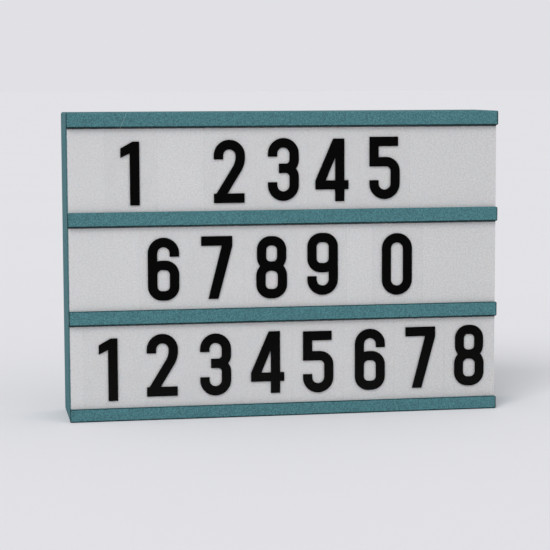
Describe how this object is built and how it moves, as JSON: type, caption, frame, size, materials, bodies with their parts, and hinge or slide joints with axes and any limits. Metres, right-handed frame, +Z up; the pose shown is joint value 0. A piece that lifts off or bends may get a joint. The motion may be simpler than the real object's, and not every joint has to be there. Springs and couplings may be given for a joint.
{
  "type": "cinema light box",
  "caption": "Flat tabletop and wall lamp with a white front panel, grooved rails holding rows of clear sliding character tiles, and a rear battery bay, switch and supply socket.",
  "frame": {"origin": "middle of the footprint, on the surface the box stands on", "axes": "+X along the rails to the right seen from the front, +Y from the front to the back, +Z up"},
  "size_m": [0.3, 0.055, 0.21],
  "materials": {
    "teal_plastic": "fine matt grain",
    "diffuser": "satin, translucent",
    "clear_tile": "clear, smooth",
    "zinc_steel": "bright zinc",
    "spring_steel": "bright nickel",
    "cell_wrap": "printed metal sleeve without words",
    "white_plastic": "matt white",
    "light_board": "white solder mask",
    "light_chip": "yellow phosphor",
    "black_part": "matt black",
    "green_board": "green solder mask",
    "black_plastic": "satin black",
    "brass_tab": "plated",
    "wire_red": "insulated wire",
    "wire_white": "insulated wire"
  },
  "bodies": {
    "light_box": {"housing": "teal_plastic", "front_panel": "diffuser", "top_rail": "teal_plastic", "upper_rail": "teal_plastic", "lower_rail": "teal_plastic", "bottom_rail": "teal_plastic", "rail_screws": "zinc_steel", "rail_washers": "zinc_steel", "back_cover": "teal_plastic", "cover_screws": "zinc_steel", "aa_cells": "cell_wrap", "contact_plates": "spring_steel", "contact_springs": "spring_steel", "reflector_tray": "white_plastic", "tray_screws": "zinc_steel", "led_board_top": "light_board", "led_board_middle": "light_board", "led_board_bottom": "light_board", "led_chips": "light_chip", "led_resistors": "black_part", "led_jumper_wires": "wire_red", "control_board": "green_board", "control_board_parts": "black_part", "usb_socket": "zinc_steel", "switch_body": "black_plastic", "switch_terminals": "brass_tab", "battery_wires": "wire_red", "switch_wires": "wire_white", "led_feed_wires": "wire_red"},
    "door": {"battery_door": "teal_plastic"},
    "rocker": {"switch_rocker": "black_plastic"},
    "tile_top_1": {"tile_top_1": "clear_tile"},
    "tile_top_2": {"tile_top_2": "clear_tile"},
    "tile_top_3": {"tile_top_3": "clear_tile"},
    "tile_top_4": {"tile_top_4": "clear_tile"},
    "tile_top_5": {"tile_top_5": "clear_tile"},
    "tile_middle_1": {"tile_middle_1": "clear_tile"},
    "tile_middle_2": {"tile_middle_2": "clear_tile"},
    "tile_middle_3": {"tile_middle_3": "clear_tile"},
    "tile_middle_4": {"tile_middle_4": "clear_tile"},
    "tile_middle_5": {"tile_middle_5": "clear_tile"},
    "tile_bottom_1": {"tile_bottom_1": "clear_tile"},
    "tile_bottom_2": {"tile_bottom_2": "clear_tile"},
    "tile_bottom_3": {"tile_bottom_3": "clear_tile"},
    "tile_bottom_4": {"tile_bottom_4": "clear_tile"},
    "tile_bottom_5": {"tile_bottom_5": "clear_tile"},
    "tile_bottom_6": {"tile_bottom_6": "clear_tile"},
    "tile_bottom_7": {"tile_bottom_7": "clear_tile"},
    "tile_bottom_8": {"tile_bottom_8": "clear_tile"}
  },
  "joints": [
    {"name": "battery_door_hinge", "type": "hinge", "parent": "light_box", "child": "door", "pos_m": [0, 0.0254, 0.0207], "axis": [-1, 0, 0], "range_deg": [0, 90]},
    {"name": "switch_rocker_pivot", "type": "hinge", "parent": "light_box", "child": "rocker", "pos_m": [0.086, 0.0202, 0.046], "axis": [1, 0, 0], "range_deg": [0, 18]},
    {"name": "tile_top_1_slide", "type": "slide", "parent": "light_box", "child": "tile_top_1", "axis": [-1, 0, 0], "range_m": [-0.0158, 0.0634]},
    {"name": "tile_top_2_slide", "type": "slide", "parent": "light_box", "child": "tile_top_2", "axis": [1, 0, 0], "range_m": [-0.0158, 0.2088]},
    {"name": "tile_top_3_slide", "type": "slide", "parent": "tile_top_2", "child": "tile_top_3", "axis": [1, 0, 0], "range_m": [-0.0002, 0.1726]},
    {"name": "tile_top_4_slide", "type": "slide", "parent": "tile_top_3", "child": "tile_top_4", "axis": [1, 0, 0], "range_m": [-0.0002, 0.1364]},
    {"name": "tile_top_5_slide", "type": "slide", "parent": "tile_top_4", "child": "tile_top_5", "axis": [1, 0, 0], "range_m": [-0.0002, 0.1002]},
    {"name": "tile_middle_1_slide", "type": "slide", "parent": "tile_middle_2", "child": "tile_middle_1", "axis": [-1, 0, 0], "range_m": [-0.0002, 0.086]},
    {"name": "tile_middle_2_slide", "type": "slide", "parent": "light_box", "child": "tile_middle_2", "axis": [-1, 0, 0], "range_m": [-0.0002, 0.1222]},
    {"name": "tile_middle_3_slide", "type": "slide", "parent": "light_box", "child": "tile_middle_3", "axis": [1, 0, 0], "range_m": [-0.0002, 0.1812]},
    {"name": "tile_middle_4_slide", "type": "slide", "parent": "tile_middle_3", "child": "tile_middle_4", "axis": [1, 0, 0], "range_m": [-0.0002, 0.145]},
    {"name": "tile_middle_5_slide", "type": "slide", "parent": "tile_middle_4", "child": "tile_middle_5", "axis": [1, 0, 0], "range_m": [-0.0182, 0.0908]},
    {"name": "tile_bottom_1_slide", "type": "slide", "parent": "tile_bottom_2", "child": "tile_bottom_1", "axis": [-1, 0, 0], "range_m": [-0.0002, 0.0472]},
    {"name": "tile_bottom_2_slide", "type": "slide", "parent": "tile_bottom_3", "child": "tile_bottom_2", "axis": [-1, 0, 0], "range_m": [-0.0002, 0.0834]},
    {"name": "tile_bottom_3_slide", "type": "slide", "parent": "tile_bottom_4", "child": "tile_bottom_3", "axis": [-1, 0, 0], "range_m": [-0.0002, 0.1196]},
    {"name": "tile_bottom_4_slide", "type": "slide", "parent": "light_box", "child": "tile_bottom_4", "axis": [-1, 0, 0], "range_m": [-0.0002, 0.1558]},
    {"name": "tile_bottom_5_slide", "type": "slide", "parent": "light_box", "child": "tile_bottom_5", "axis": [1, 0, 0], "range_m": [-0.0002, 0.1476]},
    {"name": "tile_bottom_6_slide", "type": "slide", "parent": "tile_bottom_5", "child": "tile_bottom_6", "axis": [1, 0, 0], "range_m": [-0.0002, 0.1114]},
    {"name": "tile_bottom_7_slide", "type": "slide", "parent": "tile_bottom_6", "child": "tile_bottom_7", "axis": [1, 0, 0], "range_m": [-0.0002, 0.0752]},
    {"name": "tile_bottom_8_slide", "type": "slide", "parent": "tile_bottom_7", "child": "tile_bottom_8", "axis": [1, 0, 0], "range_m": [-0.0002, 0.039]}
  ]
}
